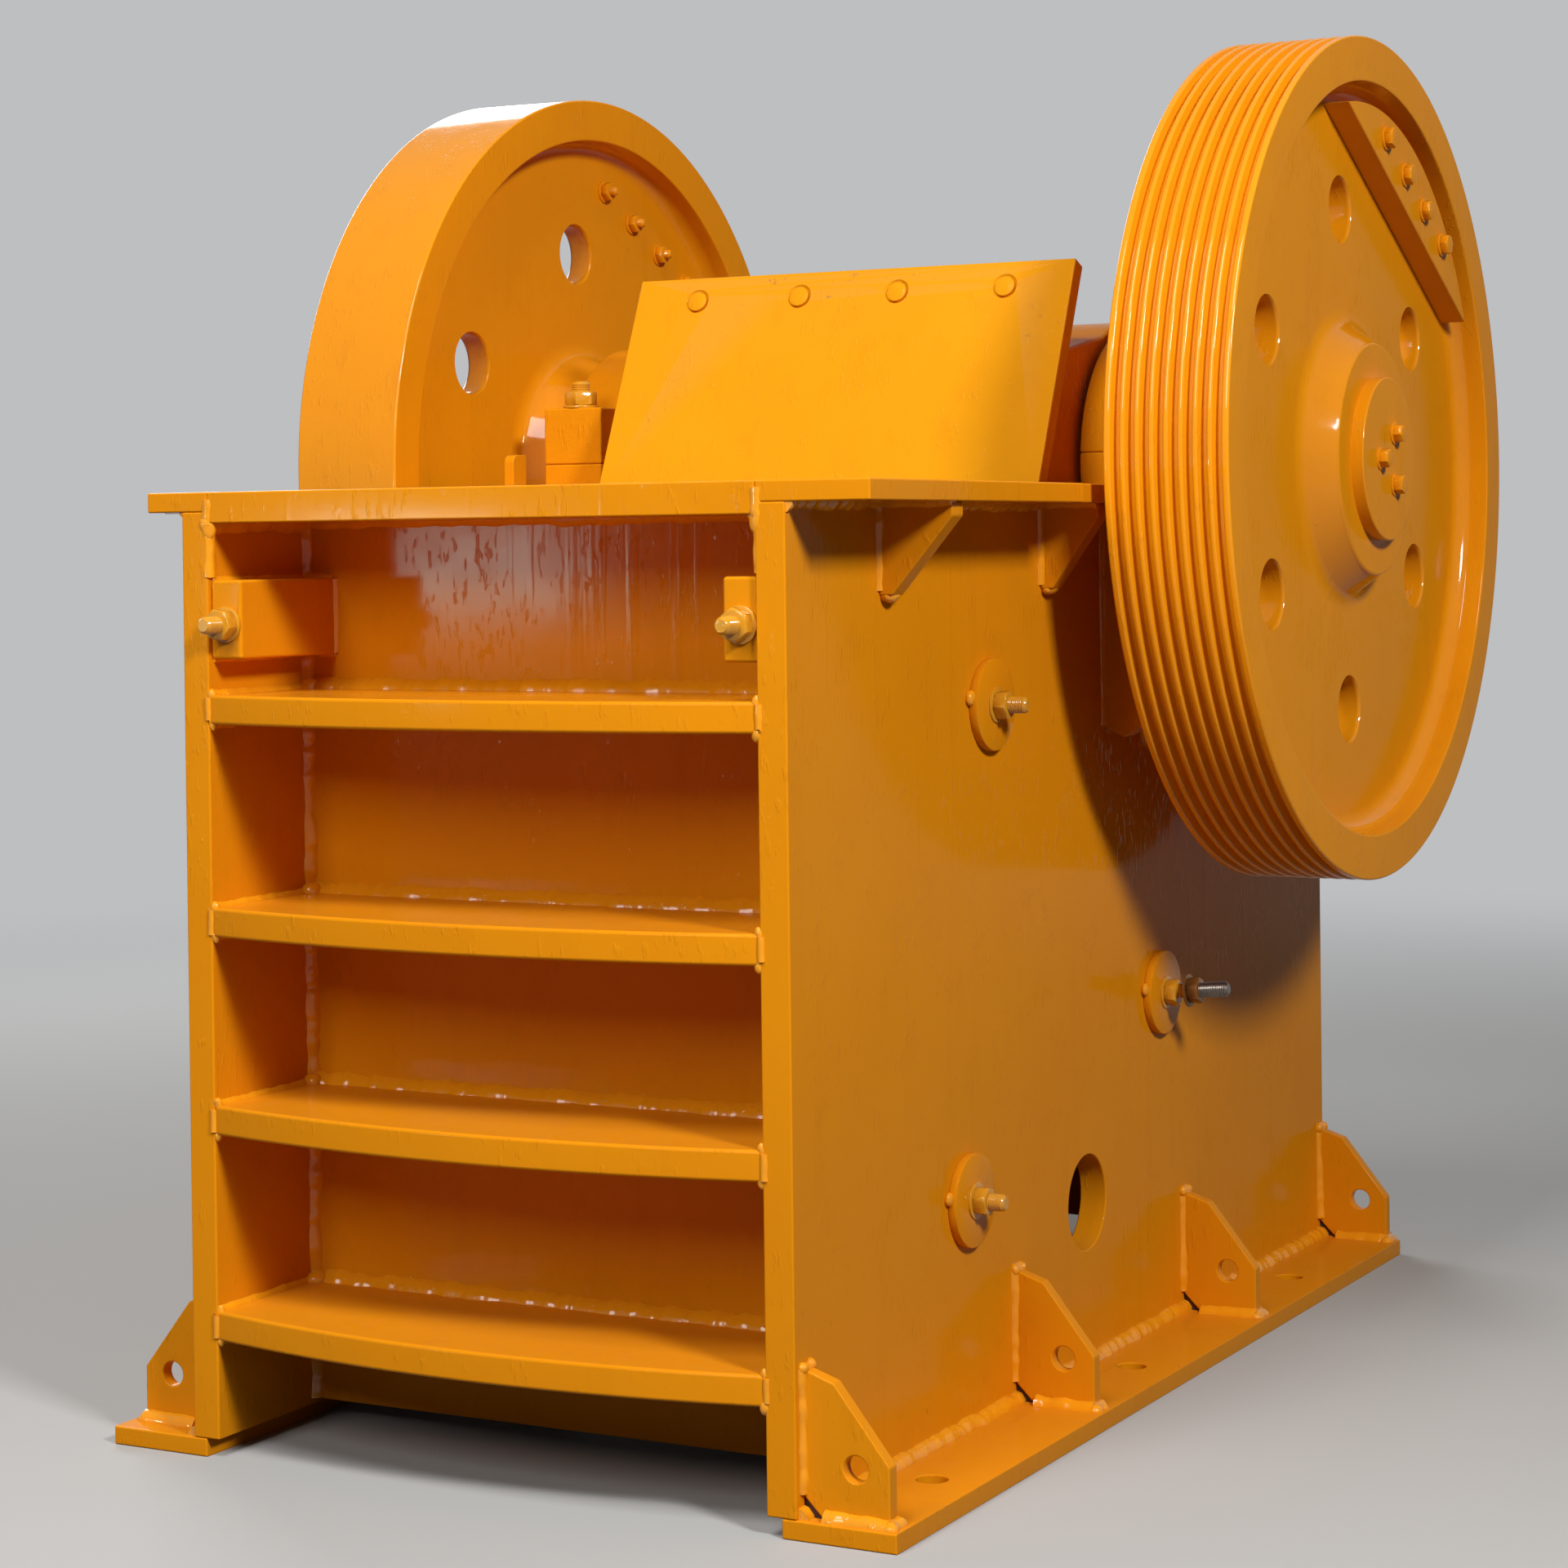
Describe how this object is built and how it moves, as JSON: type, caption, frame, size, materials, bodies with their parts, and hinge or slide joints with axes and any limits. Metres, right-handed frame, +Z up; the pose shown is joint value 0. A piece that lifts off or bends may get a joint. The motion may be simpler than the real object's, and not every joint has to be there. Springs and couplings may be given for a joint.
{
  "type": "jaw crusher",
  "caption": "Single toggle jaw crusher: welded frame with bowed front ribs, grooved pulley, plain flywheel, off-centre shaft and swing jaw with slanted guard.",
  "frame": {"origin": "on the ground under the middle of the whole machine's bounding box", "axes": "+X to the pulley side, +Y from the ribbed front to the back, +Z up"},
  "size_m": [1.93, 2.4094, 2.3615],
  "materials": {
    "frame_paint": "gloss",
    "wheel_paint": "gloss",
    "cast_paint": "gloss",
    "guard_paint": "gloss",
    "bolt_paint": "gloss",
    "jaw_steel": "rough cast",
    "shaft_steel": "machined"
  },
  "bodies": {
    "frame": {"left_side_plate": "frame_paint", "right_side_plate": "frame_paint", "front_wall": "frame_paint", "front_top_plate": "frame_paint", "front_rib_1": "frame_paint", "front_rib_2": "frame_paint", "front_rib_3": "frame_paint", "front_rib_4": "frame_paint", "left_corner_block": "frame_paint", "right_corner_block": "frame_paint", "left_base_flange": "frame_paint", "right_base_flange": "frame_paint", "left_base_gussets": "frame_paint", "right_base_gussets": "frame_paint", "left_deck": "frame_paint", "right_deck": "frame_paint", "left_deck_gussets": "frame_paint", "right_deck_gussets": "frame_paint", "left_side_bolts": "bolt_paint", "right_side_bolts": "bolt_paint", "left_bearing_housing": "cast_paint", "right_bearing_housing": "cast_paint", "left_bearing_cap": "cast_paint", "right_bearing_cap": "cast_paint", "fixed_jaw_plate": "jaw_steel", "left_cheek_plate": "jaw_steel", "right_cheek_plate": "jaw_steel", "back_wall": "frame_paint", "toggle_beam": "cast_paint", "spring_beam": "frame_paint", "toggle_plate": "jaw_steel", "tension_spring": "shaft_steel"},
    "rotor": {"eccentric_shaft": "shaft_steel", "pulley": "wheel_paint", "flywheel": "wheel_paint", "pulley_counterweight": "wheel_paint", "flywheel_counterweight": "wheel_paint", "pulley_end_plate": "wheel_paint", "flywheel_end_plate": "wheel_paint"},
    "jaw": {"swing_jaw": "cast_paint", "swing_jaw_plate": "jaw_steel", "guard_plate": "guard_paint", "tension_rod": "shaft_steel"}
  },
  "joints": [
    {"name": "shaft_spin", "type": "hinge", "parent": "frame", "child": "rotor", "pos_m": [0, 0.44325, 1.6], "axis": [1, 0, 0], "continuous": true},
    {"name": "jaw_on_shaft", "type": "hinge", "parent": "rotor", "child": "jaw", "pos_m": [0, 0.45825, 1.6], "axis": [1, 0, 0], "continuous": true}
  ],
  "couplings": [
    {"joint": "jaw_on_shaft", "follows": "shaft_spin", "ratio": -1}
  ]
}
